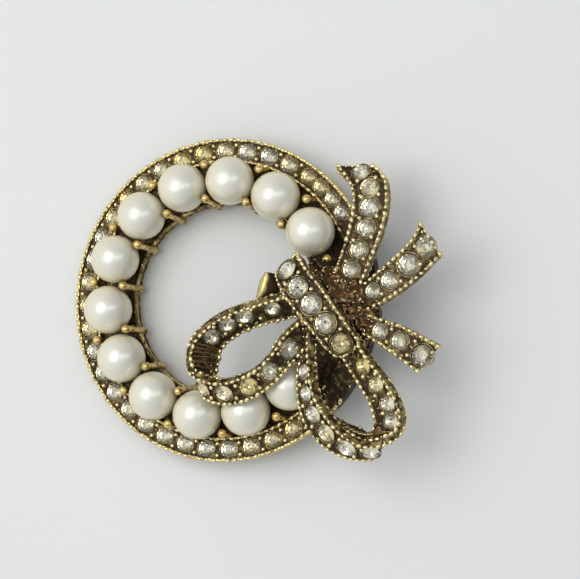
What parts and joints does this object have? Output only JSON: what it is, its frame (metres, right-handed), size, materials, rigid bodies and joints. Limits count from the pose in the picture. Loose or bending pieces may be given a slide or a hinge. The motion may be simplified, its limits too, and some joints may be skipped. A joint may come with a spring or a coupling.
{
  "type": "bow brooch",
  "caption": "Round gold-tone brooch: a wreath of imitation pearls edged with a channel of clear stones, and a stone-set ribbon bow over one side, with a pin on its back.",
  "frame": {"origin": "on the surface that the brooch lies on, under the middle of its outline", "axes": "+X across the brooch from its plain side to the bow, +Y up the brooch as it is worn, +Z away from the surface, out of the brooch's face"},
  "size_m": [0.0482, 0.0399, 0.0146],
  "materials": {
    "antique_gold": "cast, worn bright on its edges and dark brown in its hollows",
    "pin_metal": "plain drawn wire and strip",
    "pearl": "soft pearly coat",
    "cut_glass": "cut and polished, with a foiled back"
  },
  "bodies": {
    "root": {"ring_casting": "antique_gold", "bow_casting": "antique_gold", "pin_back": "pin_metal", "pearl_01": "pearl", "pearl_02": "pearl", "pearl_03": "pearl", "pearl_04": "pearl", "pearl_05": "pearl", "pearl_06": "pearl", "pearl_07": "pearl", "pearl_08": "pearl", "pearl_09": "pearl", "pearl_10": "pearl", "pearl_11": "pearl", "pearl_12": "pearl", "ring_stones": "cut_glass", "knot_stones": "cut_glass", "left_loop_stones": "cut_glass", "lower_loop_stones": "cut_glass", "tail_1_stones": "cut_glass", "tail_2_stones": "cut_glass", "tail_3_stones": "cut_glass"}
  },
  "joints": []
}
